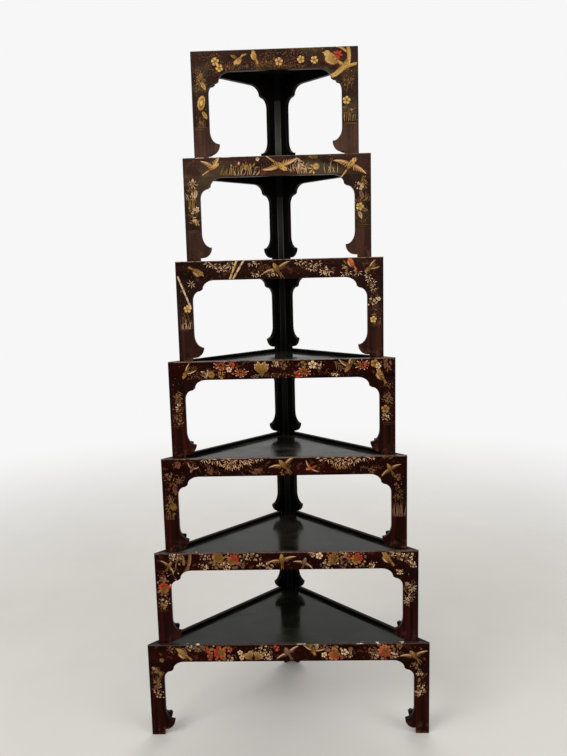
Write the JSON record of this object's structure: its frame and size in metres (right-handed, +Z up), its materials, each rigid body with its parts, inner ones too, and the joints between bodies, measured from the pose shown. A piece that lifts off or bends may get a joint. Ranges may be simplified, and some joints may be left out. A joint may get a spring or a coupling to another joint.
{
  "type": "corner etagere",
  "caption": "Tapering lacquered corner etagere: triangular tables on cusped bracket legs, each standing inside the raised rim of the one below.",
  "frame": {"origin": "on the floor, in the middle of the object's box as seen from above", "axes": "+Z up; -Y out of the decorated fronts; +Y towards the right-angled corner that fits into a room's corner; +X to the right for someone who faces the front"},
  "size_m": [0.6996, 0.3532, 1.653],
  "materials": {
    "red_lacquer": "dark red-brown lacquer over wood, semi-gloss, with raised gold ornament",
    "black_lacquer": "black lacquer over wood, semi-gloss, worn at the edges",
    "shelf_lacquer": "black lacquer over wood, glossy, finely scratched"
  },
  "bodies": {
    "tier1": {"tier1_shelf_panel": "shelf_lacquer", "tier1_front_rail": "red_lacquer", "tier1_left_rail": "black_lacquer", "tier1_right_rail": "black_lacquer", "tier1_left_leg": "red_lacquer", "tier1_right_leg": "red_lacquer", "tier1_back_leg": "black_lacquer", "tier1_back_post": "black_lacquer"},
    "tier2": {"tier2_shelf_panel": "shelf_lacquer", "tier2_front_rail": "red_lacquer", "tier2_left_rail": "black_lacquer", "tier2_right_rail": "black_lacquer", "tier2_left_leg": "red_lacquer", "tier2_right_leg": "red_lacquer", "tier2_back_leg": "black_lacquer", "tier2_back_post": "black_lacquer"},
    "tier3": {"tier3_shelf_panel": "shelf_lacquer", "tier3_front_rail": "red_lacquer", "tier3_left_rail": "black_lacquer", "tier3_right_rail": "black_lacquer", "tier3_left_leg": "red_lacquer", "tier3_right_leg": "red_lacquer", "tier3_back_leg": "black_lacquer", "tier3_back_post": "black_lacquer"},
    "tier4": {"tier4_shelf_panel": "shelf_lacquer", "tier4_front_rail": "red_lacquer", "tier4_left_rail": "black_lacquer", "tier4_right_rail": "black_lacquer", "tier4_left_leg": "red_lacquer", "tier4_right_leg": "red_lacquer", "tier4_back_leg": "black_lacquer", "tier4_back_post": "black_lacquer"},
    "tier5": {"tier5_shelf_panel": "shelf_lacquer", "tier5_front_rail": "red_lacquer", "tier5_left_rail": "black_lacquer", "tier5_right_rail": "black_lacquer", "tier5_left_leg": "red_lacquer", "tier5_right_leg": "red_lacquer", "tier5_back_leg": "black_lacquer", "tier5_back_post": "black_lacquer"},
    "tier6": {"tier6_shelf_panel": "shelf_lacquer", "tier6_front_rail": "red_lacquer", "tier6_left_rail": "black_lacquer", "tier6_right_rail": "black_lacquer", "tier6_left_leg": "red_lacquer", "tier6_right_leg": "red_lacquer", "tier6_back_leg": "black_lacquer", "tier6_back_post": "black_lacquer"},
    "tier7": {"tier7_shelf_panel": "shelf_lacquer", "tier7_front_rail": "red_lacquer", "tier7_left_rail": "black_lacquer", "tier7_right_rail": "black_lacquer", "tier7_left_leg": "red_lacquer", "tier7_right_leg": "red_lacquer", "tier7_back_leg": "black_lacquer", "tier7_back_post": "black_lacquer"}
  },
  "joints": [
    {"name": "tier2_lift", "type": "slide", "parent": "tier1", "child": "tier2", "axis": [0, 0, 1], "range_m": [0, 0.08]},
    {"name": "tier3_lift", "type": "slide", "parent": "tier2", "child": "tier3", "axis": [0, 0, 1], "range_m": [0, 0.08]},
    {"name": "tier4_lift", "type": "slide", "parent": "tier3", "child": "tier4", "axis": [0, 0, 1], "range_m": [0, 0.08]},
    {"name": "tier5_lift", "type": "slide", "parent": "tier4", "child": "tier5", "axis": [0, 0, 1], "range_m": [0, 0.08]},
    {"name": "tier6_lift", "type": "slide", "parent": "tier5", "child": "tier6", "axis": [0, 0, 1], "range_m": [0, 0.08]},
    {"name": "tier7_lift", "type": "slide", "parent": "tier6", "child": "tier7", "axis": [0, 0, 1], "range_m": [0, 0.08]}
  ]
}
